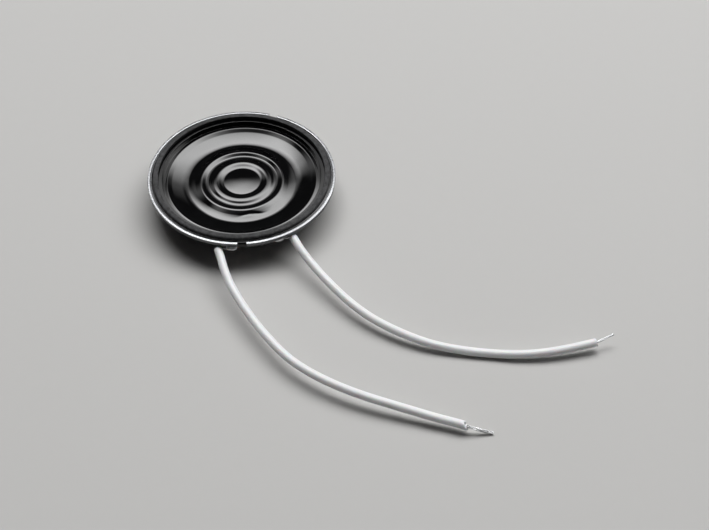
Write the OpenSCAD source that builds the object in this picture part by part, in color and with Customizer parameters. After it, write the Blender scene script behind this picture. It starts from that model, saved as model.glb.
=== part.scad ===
// Mini speaker: a 28 mm moving-coil driver with two soldered leads.
// Origin: centre of the back of the yoke. +Z points out through the film, -Y to the terminals.

/* [Frame] */
// Outside diameter of the rim
frame_d = 28; // [23:0.5:36]
// Height of the rim's top above the frame's floor
basket_depth = 2.2; // [2.1:0.1:5]
// Thickness of the stamped sheet
sheet_t = 0.45; // [0.3:0.05:0.6]
// Width of the flange, from the wall's inside to the rim
flange_w = 2.05; // [1.9:0.05:3]
// Radial thickness of the lip on the rim
lip_w = 0.38; // [0.2:0.02:0.6]
// Height of the lip above the seat of the film
lip_h = 0.16; // [0.1:0.02:0.4]
// How far the wall leans in between the flange and the floor
wall_lean = 0.25; // [0.2:0.05:1]
// Width of the two notches in the rim
notch_w = 1.35; // [0.8:0.05:2]
// Depth of the two notches in the rim
notch_depth = 0.65; // [0.2:0.05:0.8]
// Angle of the notch beside the terminals
notch_near_angle = 261.4; // [255:0.1:268]
// Angle of the notch on the far side
notch_far_angle = 60.6; // [30:0.1:85]

/* [Motor] */
// Thickness of the yoke's floor
yoke_floor_t = 0.8; // [0.6:0.05:1.5]
// Thickness of the yoke's wall
yoke_wall = 1.25; // [0.8:0.05:2]
// Height of the magnet
magnet_h = 1.2; // [0.8:0.05:2]
// Thickness of the top plate
top_plate_t = 0.6; // [0.4:0.05:1]
// How far the top plate reaches past the magnet
plate_overhang = 0.3; // [0.1:0.05:0.6]

/* [Voice coil] */
// Outside diameter of the coil
coil_d = 11.5; // [9:0.1:14]
// Radial thickness of the winding
coil_w = 0.45; // [0.3:0.05:0.7]
// Air gap between the coil and the yoke
gap_outside = 0.3; // [0.2:0.05:0.5]
// Air gap between the coil and the top plate
gap_inside = 0.25; // [0.15:0.05:0.5]
// Free travel below the coil
coil_travel = 1; // [0.6:0.05:1.2]

/* [Diaphragm] */
// Thickness of the film
film_t = 0.06; // [0.04:0.01:0.1]
// Gap between the film's edge and the lip
film_inset = 0.22; // [0.1:0.02:0.4]
// Distance from the inside of the wall to the film's shoulder
shoulder_gap = 0.1; // [0.08:0.02:0.3]
// Radial width of the skirt that drops from the shoulder
skirt_w = 0.12; // [0.1:0.02:0.4]
// Depth of the groove at the foot of the skirt
groove_depth = 0.94; // [0.8:0.02:1.1]
// Radial width of the groove, from the shoulder to the crease
groove_w = 0.8; // [0.4:0.02:1.2]
// Depth of the crease between the groove and the trough
crease_depth = 0.8; // [0.5:0.05:0.8]
// Depth of the trough between the crease and the coil
trough_depth = 1.61; // [1.2:0.02:1.8]
// How far each side of the trough sags below a straight cone
trough_sag = 0.14; // [0:0.01:0.2]
// Distance of the pressed ring's crest outside the coil
ring_out = 0.35; // [0.25:0.01:0.6]
// Height of the ring's crest above the seat of the coil
ring_h = 0.25; // [0.1:0.01:0.4]
// Depth of the seat that is glued to the coil
coil_seat_depth = 1.27; // [1:0.01:1.5]
// How far the seat reaches past the coil on the outside
seat_out = 0.1; // [0.02:0.01:0.2]
// How far the seat reaches past the coil on the inside
seat_in = 0.4; // [0.1:0.05:0.7]
// Distance of the terrace's outer edge inside the coil
terrace_in = 1; // [0.8:0.05:1.4]
// Distance of the terrace's inner edge inside the coil
circle_in = 1.55; // [1.45:0.05:1.9]
// Depth of the terrace around the dome
circle_depth = 1.05; // [0.9:0.01:1.3]
// Distance of the dome's edge inside the coil
dome_in = 2.65; // [2:0.05:3]
// Depth of the valley around the dome
dome_edge_depth = 1.27; // [1:0.01:1.5]
// Depth of the dome's top
dome_depth = 1.1; // [0.8:0.01:1.5]

/* [Gasket ring] */
// Radial width of the ring
gasket_w = 0.95; // [0.5:0.05:1.2]
// Thickness of the ring
gasket_t = 0.55; // [0.3:0.05:1]
// Gap between the ring and the lip
gasket_gap = 0.27; // [0.1:0.01:0.4]
// Radius of the ring's outer top edge
gasket_edge = 0.28; // [0.05:0.01:0.3]

/* [Vents] */
// Diameter of the vent holes
vent_d = 1.2; // [0.6:0.1:1.5]
// Number of vent holes
vent_count = 8; // [4:1:12]
// Gap between the cloth's edges and the yoke's and the wall's radius
cloth_margin = 0.2; // [0.1:0.05:0.5]
// Thickness of the cloth
cloth_t = 0.15; // [0.08:0.01:0.3]

/* [Terminals] */
// Angle that the terminal board spans
board_angle = 39; // [30:1:60]
// Radial width of the board
board_w = 1.05; // [0.8:0.05:1.3]
// Thickness of the board
board_t = 0.6; // [0.3:0.05:0.8]
// Gap between the board and the wall
board_gap = 0.05; // [0.02:0.01:0.2]
// Angle of each terminal from the middle of the board
terminal_angle = 15; // [12:0.5:16]
// Angle that each copper pad spans
pad_angle = 8; // [6:0.5:9]
// Radial width of the pads
pad_w = 0.9; // [0.6:0.05:1]
// Thickness of the pads
pad_t = 0.05; // [0.03:0.01:0.1]
// Angle that the left solder joint spans
left_joint_angle = 6; // [3:0.2:7]
// Angle that the right solder joint spans
right_joint_angle = 6.8; // [3:0.2:7]
// How far the solder covers the pad
solder_cover = 0.6; // [0.3:0.05:0.8]
// How far the solder stands out from the board's edge
solder_out = 0.5; // [0.3:0.02:0.5]
// Height of the solder below the pad
solder_drop = 0.24; // [0.15:0.01:0.4]
// Gap between the solder and the flange above it
solder_gap = 0.06; // [0.02:0.01:0.2]

/* [Coil leads] */
// Diameter of the thin leads from the coil
thin_lead_d = 0.12; // [0.08:0.01:0.2]
// Diameter of the holes in the wall
lead_hole_d = 0.5; // [0.4:0.02:0.6]
// Sideways slack of each lead
lead_slack = 0.9; // [0.4:0.1:1.5]

/* [Outside leads] */
// Outside diameter of the plastic jacket
jacket_d = 1.2; // [1:0.05:1.3]
// Bore of the jacket
jacket_bore = 0.42; // [0.4:0.02:0.6]
// Diameter of the stranded conductor
conductor_d = 0.34; // [0.2:0.02:0.36]

/* [Hidden] */

$fn = 96;
left = -1;
right = 1;
slip = 0.02; // clearance between parts that slide together
dome_bulge = 0.04; // rounding of the film's dome

// Middle line of each jacket, from the speaker's edge to where the jacket was stripped.
left_route = [
    [-5.5, -12.9, 3.5], [-5.3, -14.6, 3.15], [-5.2, -16.2, 2.9], [-4.9, -18.3, 2.6],
    [-4.2, -21.2, 2.35], [-2.8, -25.4, 2.2], [-1.3, -29.1, 2.15], [0.7, -33.2, 2.15],
    [2.9, -36.1, 2.15], [5.9, -39, 2.1], [9.5, -41.7, 2], [13.1, -43.8, 1.8],
    [16.7, -45.8, 1.5], [19.2, -47.2, 1.3], [21, -48.1, 1.25], [22.3, -48.9, 1.2]
];
right_route = [
    [5.5, -12.85, 3.55], [6.1, -14.8, 3.15], [6.7, -16.1, 2.8], [7.4, -17.7, 2.5],
    [8.6, -20.2, 2.2], [10.3, -23.5, 1.95], [12.5, -27, 1.75], [14.8, -29.6, 1.55],
    [17.8, -32.2, 1.35], [20.9, -34.3, 1.05], [24.8, -35.9, 0.7], [28.7, -37.2, 0.6],
    [32.6, -38.4, 0.85], [36.2, -38.95, 1.05], [39.8, -39, 1.25], [43.4, -38.8, 1.4]
];
// Bare conductor at each end of the jackets.
left_joint_bend = [
    [-4.56, -12.97, 3.54], [-4.86, -12.77, 3.58], [-5.15, -12.61, 3.6], [-5.42, -12.62, 3.56]
];
right_joint_bend = [
    [4.95, -12.84, 3.72], [5.2, -12.7, 3.68], [5.36, -12.62, 3.62], [5.46, -12.7, 3.59]
];
left_tip = [[22.9, -49.2, 1.1], [24.1, -49.6, 0.7], [25.8, -50.1, 0.25]];
right_tip = [[44, -38.7, 1.46], [44.8, -38.5, 1.6], [46, -38.2, 1.8]];

// Levels
yoke_h = yoke_floor_t + magnet_h + top_plate_t;
frame_h = yoke_h + basket_depth;
floor_under = yoke_h - sheet_t;
seat_z = frame_h - lip_h;
flange_under = seat_z - sheet_t;
film_drop = lip_h - film_t; // depth of the film's top on its seat, below the rim
coil_seat_under = frame_h - coil_seat_depth - film_t;
trough_under = frame_h - trough_depth - film_t;
coil_bottom = yoke_floor_t + coil_travel;
board_under = flange_under - board_t;
pad_under = board_under - pad_t;
lead_z = (yoke_h + cloth_t + trough_under) / 2; // midway between the cloth and the film

// Radii
frame_r = frame_d / 2;
lip_r = frame_r - lip_w;
wall_r = frame_r - flange_w;
floor_r = wall_r - wall_lean;
coil_r = coil_d / 2;
coil_inner_r = coil_r - coil_w;
top_plate_r = coil_inner_r - gap_inside;
magnet_r = top_plate_r - plate_overhang;
yoke_bore_r = coil_r + gap_outside;
yoke_r = yoke_bore_r + yoke_wall;
spigot_r = yoke_r - sheet_t; // the frame's floor rests on the step that this leaves
film_r = lip_r - film_inset;
shoulder_r = wall_r - shoulder_gap;
crease_r = shoulder_r - groove_w;
trough_r = (crease_r + coil_r) / 2;
gasket_r = lip_r - gasket_gap;
vent_circle_r = (yoke_r + floor_r) / 2;
board_r = wall_r + sheet_t + board_gap;
board_outer_r = board_r + board_w;
solder_r = board_outer_r - solder_cover;
solder_outer_r = board_outer_r + solder_out;

// Radius of the wall's inside at a height
function wall_inside(z) = floor_r + wall_lean * (z - yoke_h) / (seat_z - yoke_h);

// Points of an arc in the plane of a profile
function arc(centre, r, from, to, steps = 6) =
    [for (i = [0:steps]) let (a = from + (to - from) * i / steps) centre + r * [cos(a), sin(a)]];

// Points between two profile points, bulged up by crown in the middle
function bulge(from, to, crown, steps = 8) =
    [for (i = [0:steps - 1]) let (t = i / steps) from + (to - from) * t + [0, 4 * crown * t * (1 - t)]];

// The film's top surface: [radius, depth below the rim, bulge of the stretch that follows]
film_marks = [
    [film_r, film_drop, 0],
    [shoulder_r, film_drop, 0],
    [shoulder_r - skirt_w, groove_depth, 0],
    [crease_r, crease_depth, -trough_sag],
    [trough_r, trough_depth, -trough_sag],
    [coil_r + ring_out, coil_seat_depth - ring_h, 0],
    [coil_r + seat_out, coil_seat_depth, 0],
    [coil_inner_r - seat_in, coil_seat_depth, 0],
    [coil_inner_r - terrace_in, circle_depth, 0],
    [coil_inner_r - circle_in, circle_depth, 0],
    [coil_inner_r - dome_in, dome_edge_depth, dome_bulge],
    [0, dome_depth, 0]
];
function film_point(i) = [film_marks[i][0], frame_h - film_marks[i][1]];
film_top = [
    for (i = [0:len(film_marks) - 2])
        let (crown = film_marks[i][2])
            each bulge(film_point(i), film_point(i + 1), crown, crown == 0 ? 1 : 8),
    film_point(len(film_marks) - 1)
];

// Unit vector along v
function unit(v) = v / norm(v);

// Upward direction square to the film's stretch before its point i, level past both ends
function film_normal(i) =
    i < 1 || i >= len(film_top)
        ? [0, 1]
        : let (along = unit(film_top[i] - film_top[i - 1])) [along[1], -along[0]];

// Point of the film's underside below its point i
function film_under(i) =
    let (before = film_normal(i), after = film_normal(i + 1))
        film_top[i] - film_t * (before + after) / (1 + before * after);

// Direction of a path at its point i
function heading(path, i) = unit(path[min(i + 1, len(path) - 1)] - path[max(i - 1, 0)]);

// Ring of points around a path's point, square to the path
sides = 8;
function ring(path, i, r) =
    let (ahead = heading(path, i), aside = unit(cross(ahead, [0, 0, 1])), above = cross(aside, ahead))
        [
            for (k = [0:sides - 1])
                let (a = (k + 0.5) * 360 / sides) path[i] + r * (cos(a) * aside + sin(a) * above)
        ];

// Quads between ring a and ring b of a swept skin, as point numbers
function band(a, b) =
    [for (k = [0:sides - 1]) let (n = (k + 1) % sides) [a + k, b + k, b + n, a + n]];

// Solid rod swept along a path
module swept_rod(path, r) {
    points = [for (i = [0:len(path) - 1]) each ring(path, i, r)];
    last = sides * (len(path) - 1);
    skin = [for (i = [0:len(path) - 2]) each band(sides * i, sides * (i + 1))];
    near_end = [for (k = [0:sides - 1]) k];
    far_end = [for (k = [0:sides - 1]) last + sides - 1 - k];
    polyhedron(points, [each skin, near_end, far_end], convexity = 8);
}

// Tube swept along a path
module swept_tube(path, r, bore_r) {
    outer = [for (i = [0:len(path) - 1]) each ring(path, i, r)];
    inner = [for (i = [0:len(path) - 1]) each ring(path, i, bore_r)];
    start = len(outer);
    last = sides * (len(path) - 1);
    outside = [for (i = [0:len(path) - 2]) each band(sides * i, sides * (i + 1))];
    inside = [for (i = [0:len(path) - 2]) each band(start + sides * (i + 1), start + sides * i)];
    near_end = band(start, 0);
    far_end = band(last, start + last);
    faces = [each outside, each inside, each near_end, each far_end];
    polyhedron([each outer, each inner], faces, convexity = 8);
}

// Part of a ring under the flange, about the middle angle
module arc_block(middle, angle, r, w, z, h) {
    rotate([0, 0, middle - angle / 2])
        rotate_extrude(angle = angle)
            translate([r, z])
                square([w, h]);
}

// Values that differ between the two leads
function terminal_direction(side) = 270 + side * terminal_angle;
function joint_angle(side) = side == left ? left_joint_angle : right_joint_angle;
function route(side) = side == left ? left_route : right_route;
function joint_bend(side) = side == left ? left_joint_bend : right_joint_bend;
function tip(side) = side == left ? left_tip : right_tip;

// Frame: stamped steel basket with its flange and lip, vent holes and two lead holes
module frame() {
    edge = 0.07; // rounding of the rim's edges
    outline = [
        [spigot_r + slip, floor_under],
        [floor_r + sheet_t - 2 * edge, floor_under],
        [floor_r + sheet_t, floor_under + 2 * edge],
        [wall_r + sheet_t, flange_under],
        each arc([frame_r - edge, flange_under + edge], edge, -90, 0, 3),
        each arc([frame_r - edge, frame_h - edge], edge, 0, 90, 3),
        each arc([lip_r + edge, frame_h - edge], edge, 90, 180, 3),
        [lip_r, seat_z],
        [wall_r, seat_z],
        [floor_r, yoke_h],
        [spigot_r + slip, yoke_h]
    ];
    color("silver")
        difference() {
            rotate_extrude()
                polygon(outline);
            for (angle = [notch_near_angle, notch_far_angle])
                rotate([0, 0, angle])
                    translate([frame_r - notch_depth, -notch_w / 2, flange_under - sheet_t])
                        cube([2 * notch_depth, notch_w, frame_h]);
            for (i = [0:vent_count - 1])
                rotate([0, 0, 360 * i / vent_count])
                    translate([vent_circle_r, 0, 0])
                        cylinder(h = frame_h, d = vent_d);
            for (side = [left, right])
                rotate([0, 0, terminal_direction(side)])
                    translate([yoke_r, 0, lead_z])
                        rotate([0, 90, 0])
                            cylinder(h = frame_r - yoke_r, d = lead_hole_d);
        }
}

// Yoke: steel cup that carries the magnet, with a step for the frame
module yoke_cup() {
    edge = 0.15; // chamfer around the back
    color("lightsteelblue")
        rotate_extrude()
            polygon([
                [0, 0],
                [yoke_r - edge, 0],
                [yoke_r, edge],
                [yoke_r, floor_under],
                [spigot_r, floor_under],
                [spigot_r, yoke_h],
                [yoke_bore_r, yoke_h],
                [yoke_bore_r, yoke_floor_t],
                [0, yoke_floor_t]
            ]);
}

// Magnet: disc on the yoke's floor
module magnet() {
    color("dimgray")
        translate([0, 0, yoke_floor_t])
            cylinder(h = magnet_h, r = magnet_r);
}

// Top plate: steel disc on the magnet, level with the yoke's wall
module top_plate() {
    color("lightgray")
        translate([0, 0, yoke_floor_t + magnet_h])
            cylinder(h = top_plate_t, r = top_plate_r);
}

// Voice coil: self-supporting winding, glued under the film's seat
module voice_coil() {
    color("peru")
        rotate_extrude()
            translate([coil_inner_r, coil_bottom])
                square([coil_w, coil_seat_under - coil_bottom]);
}

// Diaphragm: one pressed film from its seat on the flange to the dome in the centre
module diaphragm() {
    last = len(film_top) - 1;
    under = [for (i = [last - 1:-1:0]) film_under(i)];
    color("black")
        rotate_extrude()
            polygon([each film_top, film_top[last] - [0, film_t], each under]);
}

// Gasket ring: fibre ring that clamps the film's edge
module gasket_ring() {
    bottom = seat_z + film_t;
    top = bottom + gasket_t;
    color("slategray")
        rotate_extrude()
            polygon([
                [gasket_r - gasket_w, bottom],
                [gasket_r, bottom],
                each arc([gasket_r - gasket_edge, top - gasket_edge], gasket_edge, 0, 90),
                [gasket_r - gasket_w, top]
            ]);
}

// Vent cloth: acoustic cloth ring on the frame's floor, over the vents
module vent_cloth() {
    cloth_r = yoke_r + cloth_margin;
    color("gray")
        rotate_extrude()
            translate([cloth_r, yoke_h])
                square([floor_r - cloth_margin - cloth_r, cloth_t]);
}

// Terminal board: curved fibre strip under the flange
module terminal_board() {
    color("saddlebrown")
        arc_block(270, board_angle, board_r, board_w, board_under, board_t);
}

// Copper pad under the board
module copper_pad(side) {
    color("orange")
        arc_block(terminal_direction(side), pad_angle, board_outer_r - pad_w, pad_w, pad_under, pad_t);
}

// Solder joint: covers the pad's outer part and wraps the board's edge
module solder_joint(side) {
    angle = joint_angle(side);
    round_r = solder_drop / 2;
    top = flange_under - solder_gap;
    bottom = pad_under - solder_drop;
    color("gainsboro")
        rotate([0, 0, terminal_direction(side) - angle / 2])
            rotate_extrude(angle = angle)
                polygon([
                    [board_outer_r, pad_under],
                    [board_outer_r, top],
                    each arc([solder_outer_r - round_r, top - round_r], round_r, 90, 0, 4),
                    each arc([solder_outer_r - round_r, bottom + round_r], round_r, 0, -90, 4),
                    [solder_r, bottom],
                    [solder_r, pad_under]
                ]);
}

// Thin lead from the coil, with sideways slack, out through the wall to the solder
module coil_lead(side) {
    hole_in = wall_inside(lead_z) - 2 * lead_hole_d;
    hole_out = wall_inside(lead_z) + sheet_t + lead_hole_d / 2;
    start = coil_r + slip;
    span = hole_in - start;
    slack_points = [
        for (i = [0:6])
            let (t = i / 6)
                [start + span * t, side * lead_slack * pow(sin(180 * t), 2), lead_z]
    ];
    color("sienna")
        rotate([0, 0, terminal_direction(side)])
            swept_rod([
                each slack_points,
                [hole_out, 0, lead_z],
                [solder_r - lead_hole_d / 4, 0, pad_under - solder_drop / 2],
                [solder_r, 0, pad_under - solder_drop / 2]
            ], thin_lead_d / 2);
}

// Lead seal: plug of adhesive in the wall's lead hole, around the thin lead
module lead_seal(side) {
    proud = 0.08; // how far the plug stands out of the wall, inside and outside
    length = sheet_t + 2 * proud;
    color("goldenrod")
        rotate([0, 0, terminal_direction(side)])
            translate([wall_inside(lead_z) - proud, 0, lead_z])
                rotate([0, 90, 0])
                    difference() {
                        cylinder(h = length, d = lead_hole_d - slip);
                        translate([0, 0, -proud])
                            cylinder(h = length + 2 * proud, d = thin_lead_d + 2 * slip);
                    }
}

// Jacket: soft plastic tube of an outside lead
module jacket(side) {
    color("white")
        swept_tube(route(side), jacket_d / 2, jacket_bore / 2);
}

// Conductor: tinned strands, bare at both ends, from the solder joint to the tip
module conductor(side) {
    face_angle = terminal_direction(side) + side * joint_angle(side) / 2;
    face_r = board_outer_r + solder_out / 2;
    face = [face_r * cos(face_angle), face_r * sin(face_angle), joint_bend(side)[0][2]];
    color("lightgray")
        swept_rod([face, each joint_bend(side), each route(side), each tip(side)], conductor_d / 2);
}

frame();
yoke_cup();
magnet();
top_plate();
voice_coil();
diaphragm();
gasket_ring();
vent_cloth();
terminal_board();
copper_pad(left);  // left_pad
copper_pad(right);  // right_pad
solder_joint(left);  // left_solder_joint
solder_joint(right);  // right_solder_joint
coil_lead(left);  // left_coil_lead
coil_lead(right);  // right_coil_lead
lead_seal(left);  // left_lead_seal
lead_seal(right);  // right_lead_seal
jacket(left);  // left_jacket
jacket(right);  // right_jacket
conductor(left);  // left_conductor
conductor(right);  // right_conductor
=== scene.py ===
import math

import bpy
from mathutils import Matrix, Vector, noise


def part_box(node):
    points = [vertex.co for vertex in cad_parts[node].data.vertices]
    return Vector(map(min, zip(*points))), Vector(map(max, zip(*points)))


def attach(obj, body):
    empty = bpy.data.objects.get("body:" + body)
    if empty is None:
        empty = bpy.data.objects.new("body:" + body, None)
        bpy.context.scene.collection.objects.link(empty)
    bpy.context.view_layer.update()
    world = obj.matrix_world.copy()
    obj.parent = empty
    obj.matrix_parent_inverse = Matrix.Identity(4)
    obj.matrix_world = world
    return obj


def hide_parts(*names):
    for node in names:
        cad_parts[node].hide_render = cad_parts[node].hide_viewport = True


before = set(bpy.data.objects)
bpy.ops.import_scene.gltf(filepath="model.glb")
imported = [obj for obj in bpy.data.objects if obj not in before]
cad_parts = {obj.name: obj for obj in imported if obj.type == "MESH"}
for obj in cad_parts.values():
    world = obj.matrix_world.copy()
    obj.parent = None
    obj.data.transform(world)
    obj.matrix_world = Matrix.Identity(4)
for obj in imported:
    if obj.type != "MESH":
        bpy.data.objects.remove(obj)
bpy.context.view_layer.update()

bl_info = {
    "name": "Mini Speaker",
    "version": (1, 0, 0),
    "blender": (4, 5, 0),
    "location": "3D View > Sidebar > Speaker",
    "description": "Film, ring, leads, solder and finishes of a small round speaker",
    "category": "Object",
}

MM = 0.001
SENSOR_WIDTH = 36
FILM_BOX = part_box("diaphragm")
RING_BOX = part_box("gasket_ring")

# Middle lines of the leads in millimetres, as they lie
LEFT_ROUTE = [
    (-5.5, -12.9, 3.5), (-5.3, -14.6, 3.15), (-5.2, -16.2, 2.9), (-4.9, -18.3, 2.6),
    (-4.2, -21.2, 2.35), (-2.8, -25.4, 2.2), (-1.3, -29.1, 2.15), (0.7, -33.2, 2.15),
    (2.9, -36.1, 2.15), (5.9, -39, 2.1), (9.5, -41.7, 2), (13.1, -43.8, 1.8),
    (16.7, -45.8, 1.5), (19.2, -47.2, 1.3), (21, -48.1, 1.25), (22.3, -48.9, 1.2),
]
RIGHT_ROUTE = [
    (5.5, -12.85, 3.55), (6.1, -14.8, 3.15), (6.7, -16.1, 2.8), (7.4, -17.7, 2.5),
    (8.6, -20.2, 2.2), (10.3, -23.5, 1.95), (12.5, -27, 1.75), (14.8, -29.6, 1.55),
    (17.8, -32.2, 1.35), (20.9, -34.3, 1.05), (24.8, -35.9, 0.7), (28.7, -37.2, 0.6),
    (32.6, -38.4, 0.85), (36.2, -38.95, 1.05), (39.8, -39, 1.25), (43.4, -38.8, 1.4),
]
# Bare strands at the speaker's end, from the solder into the jacket
LEFT_BEND = [
    (-4, -13.15, 3.52), (-4.56, -12.97, 3.54), (-4.86, -12.77, 3.58),
    (-5.15, -12.61, 3.6), (-5.42, -12.62, 3.56),
]
RIGHT_BEND = [
    (4.05, -12.9, 3.7), (4.52, -12.95, 3.71), (4.95, -12.84, 3.72),
    (5.2, -12.7, 3.68), (5.36, -12.62, 3.62), (5.46, -12.7, 3.59),
]
# Bare strands past the stripped end
LEFT_TIP = [(22.9, -49.2, 1.1), (24.1, -49.6, 0.7), (25.8, -50.1, 0.25)]
RIGHT_TIP = [(44, -38.7, 1.46), (44.8, -38.5, 1.6), (46, -38.2, 1.8)]


def length(name, description, millimetres):
    return bpy.props.FloatProperty(
        name=name, description=description, default=millimetres * MM, min=0, precision=6,
        subtype="DISTANCE", unit="LENGTH",
    )


def colour(name, description, default):
    return bpy.props.FloatVectorProperty(
        name=name, description=description, default=default, size=3, min=0, max=1, subtype="COLOR"
    )


def share(name, description, default):
    return bpy.props.FloatProperty(
        name=name, description=description, default=default, min=0, max=1, subtype="FACTOR"
    )


def amount(name, description, default):
    return bpy.props.FloatProperty(name=name, description=description, default=default, min=0)


def turn(name, description, degrees):
    return bpy.props.FloatProperty(
        name=name, description=description, default=math.radians(degrees),
        subtype="ANGLE", unit="ROTATION",
    )


def incline(name, description, degrees):
    return bpy.props.FloatProperty(
        name=name, description=description + " in degrees", default=degrees, min=0, max=85
    )


class SpeakerStage(bpy.types.PropertyGroup):
    """Camera, lights and floor"""

    target: bpy.props.FloatVectorProperty(
        name="Target", description="Point that the camera looks at",
        default=(13.76 * MM, -16.78 * MM, 0), size=3, subtype="TRANSLATION", unit="LENGTH",
    )
    distance: length("Distance", "From the camera to its target", 231.6)
    azimuth: turn("Azimuth", "Camera's turn about the upright axis", -11.5)
    elevation: turn("Elevation", "Camera's height above the floor, as an angle", 47.95)
    lens: bpy.props.FloatProperty(
        name="Lens", description=f"Focal length on a {SENSOR_WIDTH} mm wide sensor",
        default=80.8, min=1, unit="CAMERA",
    )
    light_azimuth: turn("Light azimuth", "Softbox's turn from straight behind the speaker", 40)
    light_elevation: turn("Light elevation", "Softbox's height as an angle", 63)
    light_roll: turn("Light roll", "How far the softbox's right end hangs down", 22.8)
    light_distance: length("Light distance", "From the speaker to the lights", 700)
    light_width: length("Light width", "Softbox's width, to the middle of its soft edge", 1000)
    light_height: length("Light height", "Softbox's height, to the middle of its soft edge", 375)
    light_edge: length("Soft edge", "Width of the softbox's soft edge", 270)
    light_lean: amount("Light lean", "How much brighter the softbox is at its right end", 0.25)
    light_radiance: amount("Light strength", "Brightness of the softbox's face", 6)
    right_card_azimuth: turn("Right card azimuth", "Its turn from straight behind the speaker", 33)
    right_card_elevation: turn("Right card elevation", "Right card's height as an angle", 42)
    right_card_width: length("Right card width", "Width of the right card", 200)
    right_card_radiance: amount("Right card strength", "Brightness of the right card", 0.66)
    left_card_azimuth: turn("Left card azimuth", "Its turn from straight behind the speaker", -33)
    left_card_elevation: turn("Left card elevation", "Left card's height as an angle", 41)
    left_card_width: length("Left card width", "Width of the left card", 180)
    left_card_radiance: amount("Left card strength", "Brightness of the left card", 0.66)
    card_height: length("Card height", "Height of the side cards", 150)
    card_edge: length("Card edge", "Width of the side cards' soft edge", 140)
    fill: amount("Fill", "Brightness of the surroundings", 0.02)
    fill_colour: colour("Fill colour", "Colour of the surroundings", (0.97, 0.98, 1))
    floor: colour("Floor", "Colour of the floor", (0.55, 0.545, 0.535))
    floor_reach: length("Floor reach", "From the middle of the floor to its sides", 2000)


class SpeakerFilm(bpy.types.PropertyGroup):
    """Pressed film and the ring that clamps it"""

    shoulder: length("Shoulder radius", "Where the skirt starts to drop", 11.85)
    skirt_slope: incline("Skirt slope", "Slope of the skirt", 82.9)
    inward_slope: incline("Inward slope", "Steepest fall towards the middle", 22.6)
    outward_slope: incline("Outward slope", "Steepest rise towards the middle", 20.8)
    crease: length("Crease radius", "Where the skirt ends and the trough starts", 11.13)
    trough: length("Trough radius", "Lowest circle of the trough", 8.12)
    ring: length("Ring radius", "Crest of the pressed ring around the coil's seat", 6.05)
    seat_out: length("Seat outer radius", "Outer edge of the seat over the coil", 5.47)
    seat_in: length("Seat inner radius", "Inner edge of the seat over the coil", 5.05)
    terrace: length("Terrace radius", "Outer edge of the terrace around the dome", 4.3)
    circle: length("Circle radius", "Inner edge of the terrace", 3.72)
    dome: length("Dome radius", "Radius of the dome in the centre", 2.65)
    thickness: length("Thickness", "Thickness of the film", 0.06)
    unevenness: length("Unevenness", "Height of the slow waves in the film", 0.008)
    colour: colour("Film colour", "Colour of the film", (0.0016, 0.0016, 0.0018))
    gloss: share("Film roughness", "Roughness of the film", 0.07)
    ring_colour: colour("Ring colour", "Colour of the fibre ring", (0.044, 0.044, 0.0455))


class SpeakerLeads(bpy.types.PropertyGroup):
    """Outside leads and their solder"""

    jacket: length("Jacket diameter", "Outside diameter of the plastic jacket", 1.2)
    bore: length("Jacket bore", "Bore of the jacket", 0.42)
    strand: length("Strand diameter", "Diameter of one strand", 0.113)
    strands: bpy.props.IntProperty(
        name="Strands", description="Strands around the middle one", default=6, min=3, max=18
    )
    pitch: length("Lay length", "Length in which a strand goes once around", 13)
    left_spread: length("Left spread", "How far the left tip's strands stand apart", 0.2)
    right_spread: length("Right spread", "How far the right tip's strands stand apart", 0.0)
    jacket_colour: colour("Jacket colour", "Colour of the plastic", (0.86, 0.865, 0.875))
    tin_colour: colour("Tin colour", "Colour of the strands and the solder", (0.78, 0.79, 0.80))


class SpeakerMetal(bpy.types.PropertyGroup):
    """Frame, motor and terminals"""

    steel: colour("Steel colour", "Colour of the stamped frame", (0.62, 0.63, 0.65))
    zinc: colour("Zinc colour", "Colour of the yoke", (0.62, 0.63, 0.66))
    nickel: colour("Nickel colour", "Colour of the magnet", (0.55, 0.56, 0.58))
    enamel: colour("Enamel colour", "Colour of the winding wire", (0.55, 0.22, 0.09))
    board: colour("Board colour", "Colour of the fibre board", (0.03, 0.028, 0.026))
    copper: colour("Copper colour", "Colour of the pads", (0.72, 0.36, 0.20))
    cloth: colour("Cloth colour", "Colour of the cloth over the vents", (0.30, 0.30, 0.28))
    glue: colour("Glue colour", "Colour of the cured adhesive", (0.62, 0.42, 0.16))
    wire: length("Wire diameter", "Diameter of the winding wire", 0.09)
    thread: length("Thread spacing", "Half the distance between the cloth's threads", 0.12)


class Value:
    """A node's output that takes part in arithmetic."""

    def __init__(self, nodes, socket):
        self.nodes = nodes
        self.socket = socket

    def __add__(self, other):
        return self.nodes.math("ADD", self, other)

    def __radd__(self, other):
        return self.nodes.math("ADD", other, self)

    def __sub__(self, other):
        return self.nodes.math("SUBTRACT", self, other)

    def __rsub__(self, other):
        return self.nodes.math("SUBTRACT", other, self)

    def __mul__(self, other):
        return self.nodes.math("MULTIPLY", self, other)

    def __rmul__(self, other):
        return self.nodes.math("MULTIPLY", other, self)

    def __truediv__(self, other):
        return self.nodes.math("DIVIDE", self, other)

    def output(self, name):
        """Another output of the same node."""
        return Value(self.nodes, self.socket.node.outputs[name])

    def ramp(self, low, high, to_low=0, to_high=1):
        """Goes smoothly from to_low to to_high as the value goes from low to high."""
        return self.nodes.node(
            "ShaderNodeMapRange", {"interpolation_type": "SMOOTHSTEP"},
            {"Value": self, "From Min": low, "From Max": high, "To Min": to_low, "To Max": to_high},
        )


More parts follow.
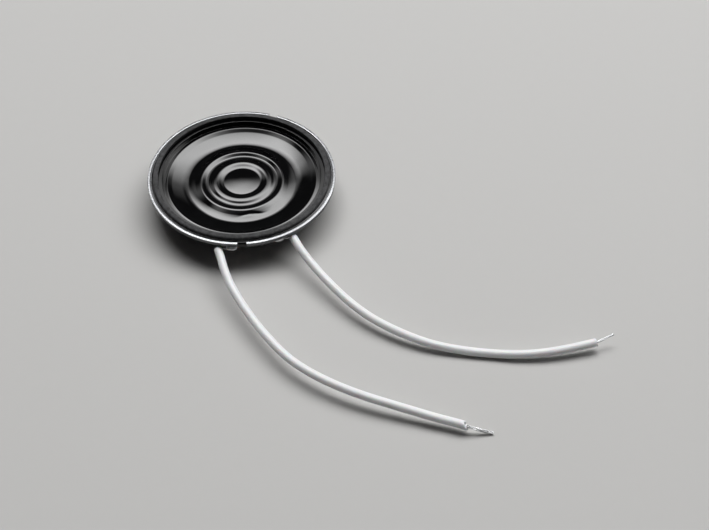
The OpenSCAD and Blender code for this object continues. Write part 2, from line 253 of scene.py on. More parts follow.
class Nodes:
    """A tree of nodes."""

    def __init__(self, tree):
        self.tree = tree

    def put(self, socket, value):
        """Links a value to a socket, or sets it there."""
        if isinstance(value, Value):
            self.tree.links.new(value.socket, socket)
        elif socket.type == "RGBA":
            socket.default_value = (*value, 1)
        else:
            socket.default_value = value

    def node(self, kind, settings=None, inputs=None, output=0):
        """Adds a node, sets it up and returns one of its outputs."""
        node = self.tree.nodes.new(kind)
        for name, value in (settings or {}).items():
            setattr(node, name, value)
        for key, value in (inputs or {}).items():
            self.put(node.inputs[key], value)
        return Value(self, node.outputs[output])

    def math(self, operation, *values):
        return self.node("ShaderNodeMath", {"operation": operation}, dict(enumerate(values)))

    def axes(self, place):
        """X, Y and Z of a place."""
        split = self.node("ShaderNodeSeparateXYZ", None, {0: place})
        return [split.output(axis) for axis in "XYZ"]


class Finish(Nodes):
    """One material: its surface shader and the nodes that feed it."""

    def __init__(self, name, **constants):
        self.material = bpy.data.materials.new(name)
        self.material.use_nodes = True
        super().__init__(self.material.node_tree)
        self.shader = next(n for n in self.tree.nodes if n.type == "BSDF_PRINCIPLED")
        self.feed(**constants)
        self.place = self.node("ShaderNodeTexCoord", output="Object")

    def feed(self, **values):
        """Sets or links the shader's sockets; base_color means Base Color."""
        for name, value in values.items():
            label = name.replace("_", " ").title().replace("Ior", "IOR")
            self.put(self.shader.inputs[label], value)

    def noise(self, size, detail=2.0, roughness=0.5, distortion=0.0):
        """Noise whose features are about size metres wide, from 0 to 1."""
        return self.node(
            "ShaderNodeTexNoise", None,
            {"Vector": self.place, "Scale": 1 / size, "Detail": detail,
             "Roughness": roughness, "Distortion": distortion},
        )

    def cells(self, size):
        """Distance from the middles of cells that are about size metres wide."""
        return self.node("ShaderNodeTexVoronoi", None, {"Vector": self.place, "Scale": 1 / size})

    def waves(self, along, half):
        """Goes up from 0 to 1 over half a wave and down again over the other half."""
        return self.math("PINGPONG", along, half) / half

    def mix(self, factor, first, second):
        """Goes from the first colour to the second."""
        inputs = {0: factor, 6: first, 7: second}
        return self.node("ShaderNodeMix", {"data_type": "RGBA"}, inputs, 2)

    def bump(self, height, distance):
        """Normal of a relief that is distance metres high."""
        return self.node("ShaderNodeBump", None, {"Height": height, "Distance": distance})


def shade(base, factor):
    """The colour made darker or lighter."""
    return tuple(min(1, c * factor) for c in base)


def film_finish(film):
    finish = Finish(
        "Glossy black film", base_color=film.colour, ior=1.5, specular_ior_level=0.3,
        coat_weight=1.0, coat_roughness=0.04,
    )
    haze = finish.noise(2.2 * MM, 4, 0.6)
    specks = finish.noise(0.12 * MM, 2)
    finish.feed(
        base_color=finish.mix(haze.ramp(0.4, 0.75), film.colour, shade(film.colour, 1.8)),
        roughness=film.gloss + haze.ramp(0.45, 0.8) * 0.05,
        normal=finish.bump(specks, 0.0008 * MM),
    )
    return finish.material


def fibre_finish(film):
    finish = Finish("Grey pressed fibre", ior=1.45)
    clumps = finish.noise(0.55 * MM, 3, 0.6)
    fibres = finish.noise(0.12 * MM, 3, 0.7, distortion=1.2)
    tone = clumps.ramp(0.3, 0.7) * 0.6 + fibres.ramp(0.35, 0.75) * 0.4
    finish.feed(
        base_color=finish.mix(tone, shade(film.ring_colour, 0.45), shade(film.ring_colour, 1.9)),
        roughness=0.85 - fibres.ramp(0.4, 0.8) * 0.15,
        normal=finish.bump(clumps * 0.5 + fibres * 0.5, 0.05 * MM),
    )
    return finish.material


def jacket_finish(leads):
    finish = Finish(
        "White soft plastic", ior=1.5, subsurface_weight=0.12, subsurface_scale=0.3 * MM
    )
    drift = finish.noise(6 * MM, 2)
    rub = finish.noise(0.5 * MM, 4, 0.65)
    grain = finish.noise(0.15 * MM, 2)
    finish.feed(
        base_color=finish.mix(
            drift.ramp(0.35, 0.7) * 0.6 + rub.ramp(0.55, 0.8) * 0.4,
            leads.jacket_colour, shade(leads.jacket_colour, 0.93),
        ),
        roughness=0.33 + rub.ramp(0.4, 0.75) * 0.12,
        normal=finish.bump(grain * 0.3 + rub * 0.7, 0.006 * MM),
    )
    return finish.material


def tin_finish(name, leads, lumps, roughness):
    finish = Finish(name, metallic=1.0)
    film = finish.noise(0.25 * MM, 3, 0.6)
    dull = finish.noise(0.9 * MM, 2)
    finish.feed(
        base_color=finish.mix(
            dull.ramp(0.35, 0.75), leads.tin_colour, shade(leads.tin_colour, 0.72)
        ),
        roughness=roughness + film.ramp(0.35, 0.75) * 0.16,
        normal=finish.bump(film, lumps),
    )
    return finish.material


def steel_finish(metal):
    """Tinned steel sheet: on the rim's near right a rougher patch darkened with painted shade, and
    painted shade on all steel below the rim's top.
    """
    finish = Finish("Bright stamped steel", metallic=1.0)
    dull = finish.noise(1.6 * MM, 3, 0.6)
    speckle = finish.noise(0.16 * MM, 3, 0.65)
    pits = finish.cells(0.5 * MM).ramp(0.05, 0.3)
    x, y, z = finish.axes(finish.place)
    # Painted shade: all steel below the rim's top is darkened to a fifth of its colour
    below = 1 - z.ramp(4.66 * MM, 4.78 * MM)
    # A patch on the rim's near right: its surface is rougher, and its colour is darkened as painted
    # shade
    near_right = x.ramp(-0.5 * MM, 2 * MM) * (1 - y.ramp(-9 * MM, -4 * MM))
    rough_and_painted_shade_patch = near_right * speckle.ramp(0.3, 0.55)
    usual_wear = 0.5
    # The rim's colour is darkened evenly, and further on the near-right patch, which is painted
    # shade
    tone_and_painted_shade = finish.math("MAXIMUM", rough_and_painted_shade_patch, usual_wear)
    top = finish.mix(tone_and_painted_shade, metal.steel, shade(metal.steel, 0.6))
    sheen = 0.13 + dull.ramp(0.35, 0.75) * 0.1 + speckle.ramp(0.5, 0.8) * 0.06
    finish.feed(
        base_color=finish.mix(below, top, shade(metal.steel, 0.2)),
        roughness=sheen + rough_and_painted_shade_patch * 0.3,
        normal=finish.bump(speckle * 0.7 + pits * 0.3, 0.012 * MM),
    )
    return finish.material


def zinc_finish(name, base, patch, roughness):
    """Satin plating with soft patches."""
    finish = Finish(name, metallic=1.0)
    bloom = finish.noise(patch, 4, 0.6)
    grain = finish.noise(0.12 * MM, 2)
    finish.feed(
        base_color=finish.mix(bloom.ramp(0.35, 0.75), base, shade(base, 0.75)),
        roughness=roughness + bloom.ramp(0.3, 0.7) * 0.12,
        normal=finish.bump(grain, 0.004 * MM),
    )
    return finish.material


def winding_finish(metal):
    """Turns of enamelled wire, one above the other."""
    finish = Finish("Enamelled winding", metallic=0.75, ior=1.6)
    _, _, z = finish.axes(finish.place)
    turns = finish.waves(z, metal.wire / 2)
    stain = finish.noise(1.2 * MM, 3)
    finish.feed(
        base_color=finish.mix(stain.ramp(0.35, 0.7), metal.enamel, shade(metal.enamel, 0.6)),
        roughness=0.3 + stain * 0.15,
        normal=finish.bump(turns, 0.03 * MM),
    )
    return finish.material


def cloth_finish(metal):
    """Plain weave that follows the floor of the frame."""
    finish = Finish("Woven acoustic cloth")
    x, y, _ = finish.axes(finish.place)
    weave = finish.waves(x, metal.thread) * finish.waves(y, metal.thread)
    lint = finish.noise(0.8 * MM, 3)
    finish.feed(
        base_color=finish.mix(weave * 0.7 + lint * 0.3, shade(metal.cloth, 0.35), metal.cloth),
        roughness=0.82 + lint * 0.1,
        normal=finish.bump(weave, 0.05 * MM),
    )
    return finish.material


def board_finish(metal):
    finish = Finish("Black fibre board", ior=1.5)
    layers = finish.noise(0.35 * MM, 4, 0.7)
    patches = finish.noise(1.8 * MM, 2)
    finish.feed(
        base_color=finish.mix(
            layers * 0.5 + patches.ramp(0.3, 0.7) * 0.5,
            shade(metal.board, 0.6), shade(metal.board, 1.2),
        ),
        roughness=0.5 + layers * 0.2,
        normal=finish.bump(layers, 0.01 * MM),
    )
    return finish.material


def copper_finish(metal):
    finish = Finish("Bare copper foil", metallic=1.0)
    tarnish = finish.noise(0.7 * MM, 4, 0.6)
    finish.feed(
        base_color=finish.mix(tarnish.ramp(0.4, 0.75), metal.copper, shade(metal.copper, 0.5)),
        roughness=0.28 + tarnish * 0.25,
        normal=finish.bump(tarnish, 0.004 * MM),
    )
    return finish.material


def glue_finish(metal):
    finish = Finish("Cured adhesive", ior=1.52)
    clouds = finish.noise(0.3 * MM, 3)
    finish.feed(
        base_color=finish.mix(clouds, metal.glue, shade(metal.glue, 0.6)),
        roughness=0.15 + clouds * 0.15,
        normal=finish.bump(clouds, 0.02 * MM),
    )
    return finish.material


def floor_finish(stage):
    finish = Finish("Pale floor", ior=1.45)
    paper = finish.noise(1.5 * MM, 3)
    finish.feed(
        base_color=finish.mix(paper * 0.35, stage.floor, shade(stage.floor, 0.97)),
        roughness=0.85 + paper * 0.1,
    )
    return finish.material


def add_object(name, data):
    """Makes an object and links it to the scene."""
    made = bpy.data.objects.new(name, data)
    bpy.context.scene.collection.objects.link(made)
    return made


def add_mesh(name, points, faces, material, smooth=True):
    """Makes a piece from points in metres and faces."""
    mesh = bpy.data.meshes.new(name)
    mesh.from_pydata(points, [], faces)
    mesh.polygons.foreach_set("use_smooth", [smooth] * len(faces))
    mesh.materials.append(material)
    mesh.update()
    return add_object(name, mesh)


def stand_in(piece, slot, *nodes):
    """Puts a piece in the place of CAD nodes."""
    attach(piece, "root")
    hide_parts(*nodes)


def dress(node, material):
    """Gives a CAD node its finish."""
    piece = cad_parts[node]
    if not piece.material_slots:
        piece.data.materials.append(material)
    for slot in piece.material_slots:
        slot.material = material


def loop_faces(rings, sides, closed=False):
    """Quads between rings of points that follow each other."""
    faces = []
    for i in range(rings if closed else rings - 1):
        a, b = i * sides, (i + 1) % rings * sides
        for k in range(sides):
            n = (k + 1) % sides
            faces.append((a + k, a + n, b + n, b + k))
    return faces


def smooth_route(marks, step):
    """Points in metres, about step apart, on a cubic B-spline of marks in millimetres."""
    marks = [Vector(m) * MM for m in marks]
    marks = [2 * marks[0] - marks[1]] + marks + [2 * marks[-1] - marks[-2]]
    points = []
    for a, b, c, d in zip(marks, marks[1:], marks[2:], marks[3:]):
        count = max(1, round((c - b).length / step))
        for i in range(count):
            t = i / count
            points.append(
                (a * (1 - t) ** 3 + b * (3 * t**3 - 6 * t**2 + 4)
                 + c * (3 * t**2 - 3 * t**3 + 3 * t + 1) + d * t**3) / 6
            )
    points.append(marks[-2])
    return points


def held_up(points, lowest):
    """The same points, none of them lower than lowest."""
    return [Vector((p.x, p.y, max(p.z, lowest))) for p in points]


def route_length(points):
    return sum((b - a).length for a, b in zip(points, points[1:]))


def heading(points, i):
    return (points[min(i + 1, len(points) - 1)] - points[max(i - 1, 0)]).normalized()


def sides_of(ahead):
    """Two directions square to a heading: level and up."""
    level = ahead.cross(Vector((0, 0, 1))).normalized()
    return level, level.cross(ahead)


def add_jacket(name, points, radius, bore, cut, material):
    """Tube with a rounded near end; cut says how far a point of its far end moves along."""
    sides, cut_rings = 40, 6
    edge = 0.09 * radius
    last = len(points) - 1
    rings = [(0, 0, bore), (0, 0, radius - edge)]
    for a in (0.5, 1.1):
        rings.append((0, edge * (1 - math.cos(a)), radius - edge + edge * math.sin(a)))
    rings += [(i, 0, radius) for i in range(1, last)]
    rings += [(last, 0, radius), (last, 0, radius - edge), (last, 0, bore)]
    rings += [(i, 0, bore) for i in range(last - 1, 0, -1)]
    coords = []
    for index, along, size in rings:
        ahead = heading(points, index)
        level, up = sides_of(ahead)
        near_end = max(0, cut_rings - (last - index)) / cut_rings
        for k in range(sides):
            a = 2 * math.pi * k / sides
            side = level * math.cos(a) + up * math.sin(a)
            shift = along + near_end**2 * cut(a, size)
            coords.append(points[index] + side * size + ahead * shift)
    return add_mesh(name, coords, loop_faces(len(rings), sides, closed=True), material)


class Steps(Nodes):
    """A Geometry Nodes tree with named inputs."""

    def __init__(self, name, inputs):
        super().__init__(bpy.data.node_groups.new(name, "GeometryNodeTree"))
        self.identifiers = {}
        for label, kind in {"Geometry": "Geometry", **inputs}.items():
            socket = self.tree.interface.new_socket(
                name=label, in_out="INPUT", socket_type="NodeSocket" + kind
            )
            self.identifiers[label] = socket.identifier
        self.tree.interface.new_socket(
            name="Geometry", in_out="OUTPUT", socket_type="NodeSocketGeometry"
        )
        self.entry = self.tree.nodes.new("NodeGroupInput")

    def __getitem__(self, label):
        return Value(self, self.entry.outputs[label])

    def vector(self, operation, inputs):
        return self.node("ShaderNodeVectorMath", {"operation": operation}, inputs)

    def scaled(self, vector, factor):
        return self.vector("SCALE", {0: vector, "Scale": factor})

    def finish(self, geometry):
        """Ends the tree with real geometry in its material."""
        real = self.node("GeometryNodeRealizeInstances", None, {0: geometry})
        inputs = {0: real, "Material": self["Material"]}
        dressed = self.node("GeometryNodeSetMaterial", None, inputs)
        leave = self.tree.nodes.new("NodeGroupOutput")
        self.put(leave.inputs[0], dressed)

    def make(self, name, mesh, **values):
        """Runs the tree on a mesh and returns the result as a plain piece."""
        carrier = add_object(name + "_carrier", mesh)
        modifier = carrier.modifiers.new("Steps", "NODES")
        modifier.node_group = self.tree
        for label, value in values.items():
            modifier[self.identifiers[label.replace("_", " ").capitalize()]] = value
        graph = bpy.context.evaluated_depsgraph_get()
        result = bpy.data.meshes.new_from_object(carrier.evaluated_get(graph), depsgraph=graph)
        carrier.modifiers.remove(modifier)
        bpy.data.objects.remove(carrier)
        result.name = name
        result.polygons.foreach_set("use_smooth", [True] * len(result.polygons))
        return add_object(name, result)


def strand_steps():
    """Twisted strands along a line, which spread towards its far end."""
    steps = Steps("Twisted strands", {
        "Strands": "Int", "Strand radius": "Float", "Pitch": "Float", "Spread": "Float",
        "Spread start": "Float", "Lowest": "Float", "Material": "Material",
    })
    radius, start = steps["Strand radius"], steps["Spread start"]
    curve = steps.node("GeometryNodeMeshToCurve", None, {0: steps["Geometry"]})
    curve = steps.node("GeometryNodeSetCurveNormal", {"mode": "Z_UP"}, {0: curve})
    copies = steps.node(
        "GeometryNodeDuplicateElements", {"domain": "SPLINE"},
        {0: curve, "Amount": steps["Strands"] + 1},
    )
    index = copies.output("Duplicate Index")
    along = steps.node("GeometryNodeSplineParameter")
    turns = index / steps["Strands"] + along.output("Length") / steps["Pitch"]
    angle = turns * (2 * math.pi)
    normal = steps.node("GeometryNodeInputNormal")
    tangent = steps.node("GeometryNodeInputTangent")
    side = steps.vector("CROSS_PRODUCT", {0: tangent, 1: normal})
    # The bare tip opens where the jacket ends and closes again towards its own end
    bare = (along - start) / (1 - start)
    spread = bare.ramp(-0.1, 0.25, 0, steps["Spread"]) * bare.ramp(0.3, 1.05, 1, 0.05)
    wander = steps.node("ShaderNodeTexWhiteNoise", {"noise_dimensions": "1D"}, {"W": index})
    # The first copy is the middle strand and stays on the line
    reach = (radius * 2 + spread * wander) * steps.math("MINIMUM", index, 1)
    outward = steps.vector("ADD", {
        0: steps.scaled(normal, steps.math("COSINE", angle)),
        1: steps.scaled(side, steps.math("SINE", angle)),
    })
    offset = steps.scaled(outward, reach)
    moved = steps.node("GeometryNodeSetPosition", None, {0: copies, "Offset": offset})
    x, y, z = steps.axes(steps.node("GeometryNodeInputPosition"))
    height = steps.math("MAXIMUM", z, steps["Lowest"])
    lifted = steps.node("ShaderNodeCombineXYZ", None, {0: x, 1: y, 2: height})
    moved = steps.node("GeometryNodeSetPosition", None, {0: moved, "Position": lifted})
    section = steps.node(
        "GeometryNodeCurvePrimitiveCircle", None, {"Resolution": 8, "Radius": radius}
    )
    rods = steps.node(
        "GeometryNodeCurveToMesh", None, {0: moved, "Profile Curve": section, "Fill Caps": True}
    )
    steps.finish(rods)
    return steps


def line_mesh(name, points):
    mesh = bpy.data.meshes.new(name)
    mesh.from_pydata(points, [(i, i + 1) for i in range(len(points) - 1)], [])
    return mesh


def film_section(film):
    """Points (radius, height) of the film's top from edge to centre, by adding up slopes."""
    inward, outward = film.inward_slope, film.outward_slope
    fineness = 0.16 * MM
    # circle to measure from, distance outside it in millimetres, slope in degrees
    marks = [
        (FILM_BOX[1].x, 0, 0), (film.shoulder, 0.03, 0), (film.shoulder, 0.02, 0),
        (film.shoulder, -0.005, 45), (film.shoulder, -0.012, film.skirt_slope),
        (film.shoulder, -0.108, film.skirt_slope), (film.shoulder, -0.115, 45),
        (film.shoulder, -0.13, 0), (film.shoulder, -0.16, -11),
        (film.crease, 0.15, -13), (film.crease, 0.05, -8), (film.crease, 0, 2),
        (film.crease, -0.04, 14), (film.crease, -0.07, inward),
        (film.crease, -0.63, inward), (film.crease, -0.73, 17.5),
        (film.trough, 1, 14.5), (film.trough, 0, 0.5),
        (film.trough, -0.17, -9), (film.trough, -0.92, -16.5),
        (film.ring, 0.95, -17.5), (film.ring, 0.88, -outward), (film.ring, 0.28, -outward),
        (film.ring, 0.23, -17), (film.ring, 0.12, -8), (film.ring, 0, 1),
        (film.ring, -0.09, 10), (film.ring, -0.16, inward),
        (film.seat_out, 0, inward), (film.seat_out, -0.07, 14), (film.seat_out, -0.2, 1),
        (film.seat_in, 0, 0), (film.seat_in, -0.07, -8),
        (film.seat_in, -0.33, -17.5), (film.seat_in, -0.39, -outward),
        (film.terrace, 0.12, -outward), (film.terrace, 0.06, -17), (film.terrace, -0.1, -8),
        (film.circle, 0.2, -4), (film.circle, 0, 4),
        (film.circle, -0.28, 19), (film.circle, -0.58, 18),
        (film.dome, 0.1, 3), (film.dome, 0.02, -7),
        (film.dome * 0.8, 0, -5), (film.dome * 0.4, 0, -3), (0, 0, 0),
    ]
    marks = [(circle + outside * MM, slope) for circle, outside, slope in marks]
    points = [Vector((marks[0][0], FILM_BOX[1].z))]
    for (r0, slope0), (r1, slope1) in zip(marks, marks[1:]):
        steps = max(2, math.ceil((r0 - r1) / fineness))
        run = (r0 - r1) / steps
        for i in range(steps):
            slope = math.radians(slope0 + (slope1 - slope0) * (i + 0.5) / steps)
            points.append(points[-1] - Vector((run, run * math.tan(slope))))
    return points


def offset_below(above, thickness):
    """Points of a sheet's underside, square to the stretches beside each point of its top."""
    stretches = [(b - a).normalized() for a, b in zip(above, above[1:])]
    ups = [Vector((along.y, -along.x)) for along in stretches]
    level = Vector((0, 1))
    below = []
    for point, before, after in zip(above, [level] + ups, ups + [level]):
        below.append(point - (before + after) * (thickness / (1 + before.dot(after))))
    return below


def hill(value, middle, width):
    """A soft hump of height 1 around the middle."""
    return math.exp(-((value - middle) / width) ** 2)


def around(angle, middle):
    """Difference of two angles in degrees, from -180 to 180."""
    return (angle - middle + 180) % 360 - 180


def film_flaws(film, r, angle):
    """How far the pressed film strays from its turned shape."""
    degrees = math.degrees(angle)
    radius = r / MM
    x, y = radius * math.cos(angle), radius * math.sin(angle)
    # Slow waves, and finer ones over them
    rise = film.unevenness * 2 * noise.noise(Vector((x * 0.22, y * 0.22, 3.1)))
    rise += film.unevenness * 0.35 * noise.noise(Vector((x * 0.8, y * 0.8, 7.7)))
    crease_circle = 7.1 + 0.25 * math.sin(math.radians(degrees * 9))
    # A broad swell, a small bump and a short crease: height in millimetres, middle and width
    # in degrees, circle and width in millimetres
    for height, middle, span, circle, width in (
        (0.07, 309, 20, 7, 0.9), (0.07, 76.5, 5, 6.55, 0.22), (-0.07, 275, 13, crease_circle, 0.2),
    ):
        rise += height * MM * hill(around(degrees, middle), 0, span) * hill(radius, circle, width)
    # The film is held still at its edge
    still, over = 11.6, 0.6
    return rise * min(1, max(0, (still - radius) / over))


def direction(azimuth, elevation):
    """Direction from the speaker: azimuth turns from straight behind it to its right."""
    across = math.cos(elevation)
    return Vector((math.sin(azimuth) * across, math.cos(azimuth) * across, math.sin(elevation)))


def aim(thing, target, away, distance):
    """Puts a light or a camera at a distance from a target and points it there."""
    thing.location = target + away * distance
    thing.rotation_euler = (-away).to_track_quat("-Z", "Y").to_euler()


class SPEAKER_OT_stage(bpy.types.Operator):
    """Camera, softbox, surroundings and pale floor"""

    bl_idname = "speaker.stage"
    bl_label = "Stage"

    def add_softbox(self, name, away, distance, size, edge, radiance, roll=0, lean=0):
        """Area light with soft edges, aimed at the speaker."""
        width, height = size
        softbox = bpy.data.lights.new(name, "AREA")
        softbox.shape = "RECTANGLE"
        softbox.size, softbox.size_y = width + edge, height + edge
        softbox.energy = radiance * math.pi * softbox.size * softbox.size_y
        softbox.use_nodes = True
        nodes = Nodes(softbox.node_tree)
        x, y, _ = nodes.axes(nodes.node("ShaderNodeNewGeometry", output="Parametric"))
        strength = 1 + (x - 0.5) * (2 * lean)
        for along, reach in ((x, softbox.size), (y, softbox.size_y)):
            from_edge = (0.5 - nodes.math("ABSOLUTE", along - 0.5)) * reach
            strength = strength * from_edge.ramp(0, edge)
        emission = next(n for n in softbox.node_tree.nodes if n.type == "EMISSION")
        nodes.put(emission.inputs["Strength"], strength)
        light = add_object(name, softbox)
        aim(light, Vector(), away, distance)
        light.rotation_euler.rotate_axis("Z", roll)

    def execute(self, context):
        scene = context.scene
        stage = scene.speaker_stage
        lens = bpy.data.cameras.new("Camera")
        lens.lens = stage.lens
        lens.sensor_width = SENSOR_WIDTH
        lens.clip_start = 10 * MM
        camera = add_object("Camera", lens)
        behind = direction(stage.azimuth, stage.elevation)
        in_front = Vector((behind.x, -behind.y, behind.z))
        aim(camera, Vector(stage.target), in_front, stage.distance)
        scene.camera = camera

        self.add_softbox(
            "Softbox", direction(stage.light_azimuth, stage.light_elevation), stage.light_distance,
            (stage.light_width, stage.light_height), stage.light_edge, stage.light_radiance,
            stage.light_roll, stage.light_lean,
        )
        for side in ("right", "left"):
            azimuth, elevation, width, radiance = (
                getattr(stage, f"{side}_card_{key}")
                for key in ("azimuth", "elevation", "width", "radiance")
            )
            self.add_softbox(
                side.capitalize() + "_card", direction(azimuth, elevation), stage.light_distance,
                (width, stage.card_height), stage.card_edge, radiance,
            )

        world = bpy.data.worlds.new("Surroundings")
        world.use_nodes = True
        backdrop = world.node_tree.nodes["Background"]
        backdrop.inputs["Color"].default_value = (*stage.fill_colour, 1)
        backdrop.inputs["Strength"].default_value = stage.fill
        scene.world = world
        scene.view_settings.view_transform = "Standard"

        reach = stage.floor_reach
        corners = [(-reach, -reach, 0), (reach, -reach, 0), (reach, reach, 0), (-reach, reach, 0)]
        floor = add_mesh("floor", corners, [(0, 1, 2, 3)], floor_finish(stage), smooth=False)
        return {"FINISHED"}


class SPEAKER_OT_leads(bpy.types.Operator):
    """Both outside leads: white jackets over twisted strands"""

    bl_idname = "speaker.leads"
    bl_label = "Outside leads"

    def execute(self, context):
        leads = context.scene.speaker_leads
        plastic = jacket_finish(leads)
        tin = tin_finish("Tinned strands", leads, 0.002 * MM, 0.12)
        steps = strand_steps()
        jacket_step, strand_step = 0.4 * MM, 0.25 * MM

        def torn(angle, size):
            """Slanting cut with a ragged outer edge."""
            slant = -0.28 * MM * math.cos(angle - 2.2)
            rags = 0.07 * MM * math.sin(3 * angle + 0.8) + 0.05 * MM * math.sin(7 * angle)
            return slant + rags * size / (leads.jacket / 2)

        def square(angle, size):
            """Nearly square cut."""
            return 0.06 * MM * math.cos(angle + 1.2) + 0.02 * MM * math.sin(5 * angle)

        for side, route, bend, tip, cut, spread in (
            ("left", LEFT_ROUTE, LEFT_BEND, LEFT_TIP, torn, leads.left_spread),
            ("right", RIGHT_ROUTE, RIGHT_BEND, RIGHT_TIP, square, leads.right_spread),
        ):
            points = held_up(smooth_route(route, jacket_step), leads.jacket / 2)
            radius, bore = leads.jacket / 2, leads.bore / 2
            jacket = add_jacket(f"{side}_jacket_skin", points, radius, bore, cut, plastic)
            whole = smooth_route(bend + route + tip, strand_step)
            bare = route_length(smooth_route(route[-1:] + tip, strand_step))
            strands = steps.make(
                f"{side}_strands", line_mesh(f"{side}_core", whole),
                Strands=leads.strands, Strand_radius=leads.strand / 2, Pitch=leads.pitch,
                Spread=spread, Spread_start=1 - bare / route_length(whole),
                Lowest=leads.strand / 2, Material=tin,
            )
            stand_in(jacket, "white_jacket", f"{side}_jacket")
            stand_in(strands, "tinned_strands", f"{side}_conductor")
            route_length(points)
        return {"FINISHED"}


class SPEAKER_OT_film(bpy.types.Operator):
    """Glossy pressed film with its trough, rings and dome"""

    bl_idname = "speaker.film"
    bl_label = "Film"

    def execute(self, context):
        film = context.scene.speaker_film
        above = film_section(film)
        sides, rows = 256, len(above) - 1
        points = []
        for section in (above, offset_below(above, film.thickness)):
            for turned, (place, level) in zip(above[:-1], section):
                for k in range(sides):
                    a = 2 * math.pi * k / sides
                    z = level + film_flaws(film, turned.x, a)
                    points.append((place * math.cos(a), place * math.sin(a), z))
            points.append((0, 0, section[-1].y + film_flaws(film, 0, 0)))
        under = rows * sides + 1
        last = (rows - 1) * sides
        faces = loop_faces(rows, sides)
        faces += [(last + k, last + (k + 1) % sides, rows * sides) for k in range(sides)]
        faces += [tuple(under + i for i in reversed(face)) for face in faces]
        faces += [(under + k, under + (k + 1) % sides, (k + 1) % sides, k) for k in range(sides)]
        piece = add_mesh("film", points, faces, film_finish(film))
        stand_in(piece, "black_film", "diaphragm")
        return {"FINISHED"}


class SPEAKER_OT_ring(bpy.types.Operator):
    """Fibre ring that clamps the film's edge"""

    bl_idname = "speaker.ring"
    bl_label = "Gasket ring"

    def execute(self, context):
        film = context.scene.speaker_film
        low, high = RING_BOX
        outer, inner = high.x - 0.1 * MM, high.x - 0.94 * MM
        # The outer edge is rounded wide and deep, the inner one tightly
        wide, deep, outer_steps = 0.25 * MM, 0.4 * MM, 5
        round_in, inner_steps = 0.1 * MM, 4
        section = [(outer, low.z)]
        for i in range(outer_steps + 1):
            a = math.pi / 2 * i / outer_steps
            r = outer - wide * (1 - math.cos(a))
            section.append((r, high.z - deep * (1 - math.sin(a))))
        for i in range(inner_steps + 1):
            a = math.pi / 2 * i / inner_steps
            r = inner + round_in * (1 - math.sin(a))
            section.append((r, high.z - round_in * (1 - math.cos(a))))
        section.append((inner, low.z))
        # The outermost wall is drawn in a little
        wall, draw_in = outer - 0.02 * MM, 0.015 * MM
        sides = 420
        points = []
        for r, z in section:
            sag = (z - low.z) / (high.z - low.z)
            for k in range(sides):
                a = 2 * math.pi * k / sides
                spot = Vector((r * math.cos(a), r * math.sin(a), z)) / MM
                lump = noise.noise(spot * 1.7) * 0.5 + noise.noise(spot * 5) * 0.5
                fall = (0.02 + 0.03 * lump) * MM * sag
                slip = 0.02 * MM * noise.noise(spot * 2.6 + Vector((9, 0, 0)))
                reach = r + slip if r < wall else r + slip - draw_in
                points.append((reach * math.cos(a), reach * math.sin(a), z - max(0, fall)))
        faces = [tuple(reversed(f)) for f in loop_faces(len(section), sides, closed=True)]
        piece = add_mesh("fibre_ring", points, faces, fibre_finish(film))
        stand_in(piece, "grey_fibre", "gasket_ring")
        return {"FINISHED"}


class SPEAKER_OT_solder(bpy.types.Operator):
    """Lumps of solder that hold the leads to the terminal board"""

    bl_idname = "speaker.solder"
    bl_label = "Solder joints"

    def execute(self, context):
        leads = context.scene.speaker_leads
        tin = tin_finish("Bright solder", leads, 0.03 * MM, 0.3)
        flange_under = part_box("terminal_board")[1].z
        sides, rows = 64, 40
        squareness, corner, dent = 0.72, 1.15, 0.12
        # Middle and width in degrees; then, in millimetres, middle, half depth and rise
        for side, middle, span, seed, centre, reach, rise in (
            ("left", 255, 7.2, 2.0, 13.62, 0.66, 0.4), ("right", 285, 6.8, 5.0, 13.3, 0.4, 0),
        ):
            low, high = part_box(f"{side}_solder_joint")
            low.z += rise / 2 * MM
            high.z = min(high.z + rise * MM, flange_under)
            points = []
            for i in range(rows + 1):
                v = math.pi * i / rows
                for k in range(sides):
                    u = 2 * math.pi * k / sides
                    ball = (math.sin(v) * math.cos(u), math.sin(v) * math.sin(u), math.cos(v))
                    x, y, z = [math.copysign(abs(c) ** squareness, c) for c in ball]
                    size = max(1, math.sqrt(x * x + y * y + z * z) / corner)
                    hollow = noise.noise(Vector(ball) * 1.6 + Vector((seed, 0, 0))) + 0.4
                    lump = 1 - dent * max(0, hollow)
                    x, y, z = [c / size * lump for c in (x, y, z)]
                    a = math.radians(middle + span / 2 * x)
                    r = (centre + reach * y) * MM
                    height = (low.z + high.z) / 2 + (high.z - low.z) / 2 * z
                    points.append((r * math.cos(a), r * math.sin(a), height))
            faces = [tuple(reversed(f)) for f in loop_faces(rows + 1, sides)]
            piece = add_mesh(f"{side}_solder_lump", points, faces, tin)
            stand_in(piece, "solder", f"{side}_solder_joint")
        return {"FINISHED"}


class SPEAKER_OT_frame(bpy.types.Operator):
    """Finish of the stamped frame and of the cloth over its vents"""

    bl_idname = "speaker.frame"
    bl_label = "Frame and cloth"

    def execute(self, context):
        metal = context.scene.speaker_metal
        dress("frame", steel_finish(metal))
        dress("vent_cloth", cloth_finish(metal))
        return {"FINISHED"}


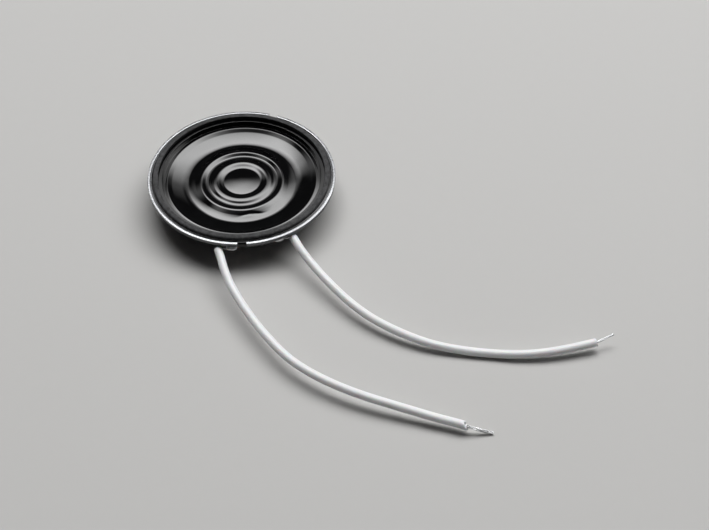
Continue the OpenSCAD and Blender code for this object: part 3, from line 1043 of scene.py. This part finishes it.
class SPEAKER_OT_motor(bpy.types.Operator):
    """Finishes of the yoke, magnet, top plate and voice coil"""

    bl_idname = "speaker.motor"
    bl_label = "Motor"

    def execute(self, context):
        metal = context.scene.speaker_metal
        zinc = zinc_finish("Satin zinc plating", metal.zinc, 1.6 * MM, 0.3)
        dress("yoke_cup", zinc)
        dress("top_plate", zinc)
        dress("magnet", zinc_finish("Nickel plating", metal.nickel, 0.8 * MM, 0.22))
        winding = winding_finish(metal)
        for node in ("voice_coil", "left_coil_lead", "right_coil_lead"):
            dress(node, winding)
        return {"FINISHED"}


class SPEAKER_OT_terminals(bpy.types.Operator):
    """Finishes of the terminal board, its pads and the lead seals"""

    bl_idname = "speaker.terminals"
    bl_label = "Terminals"

    def execute(self, context):
        metal = context.scene.speaker_metal
        dress("terminal_board", board_finish(metal))
        copper, glue = copper_finish(metal), glue_finish(metal)
        for side in ("left", "right"):
            dress(f"{side}_pad", copper)
            dress(f"{side}_lead_seal", glue)
        return {"FINISHED"}


OPERATORS = (
    SPEAKER_OT_stage, SPEAKER_OT_leads, SPEAKER_OT_film, SPEAKER_OT_ring, SPEAKER_OT_solder,
    SPEAKER_OT_frame, SPEAKER_OT_motor, SPEAKER_OT_terminals,
)
SETTINGS = {
    "speaker_stage": SpeakerStage,
    "speaker_film": SpeakerFilm,
    "speaker_leads": SpeakerLeads,
    "speaker_metal": SpeakerMetal,
}


class SPEAKER_PT_pieces(bpy.types.Panel):
    """Lists the speaker's pieces and their settings"""

    bl_label = "Mini Speaker"
    bl_idname = "SPEAKER_PT_pieces"
    bl_space_type = "VIEW_3D"
    bl_region_type = "UI"
    bl_category = "Speaker"

    def draw(self, context):
        for operator in OPERATORS:
            self.layout.operator(operator.bl_idname)
        for name in SETTINGS:
            settings = getattr(context.scene, name)
            box = self.layout.box()
            box.label(text=name.replace("_", " ").capitalize())
            for key in settings.__annotations__:
                box.prop(settings, key)


CLASSES = (*SETTINGS.values(), *OPERATORS, SPEAKER_PT_pieces)


def register():
    for cls in CLASSES:
        bpy.utils.register_class(cls)
    for name, group in SETTINGS.items():
        setattr(bpy.types.Scene, name, bpy.props.PointerProperty(type=group))


def unregister():
    for name in SETTINGS:
        delattr(bpy.types.Scene, name)
    for cls in reversed(CLASSES):
        bpy.utils.unregister_class(cls)


def main():
    register()
    for operator in OPERATORS:
        family, name = operator.bl_idname.split(".")
        getattr(getattr(bpy.ops, family), name)()


if __name__ == "__main__":
    main()
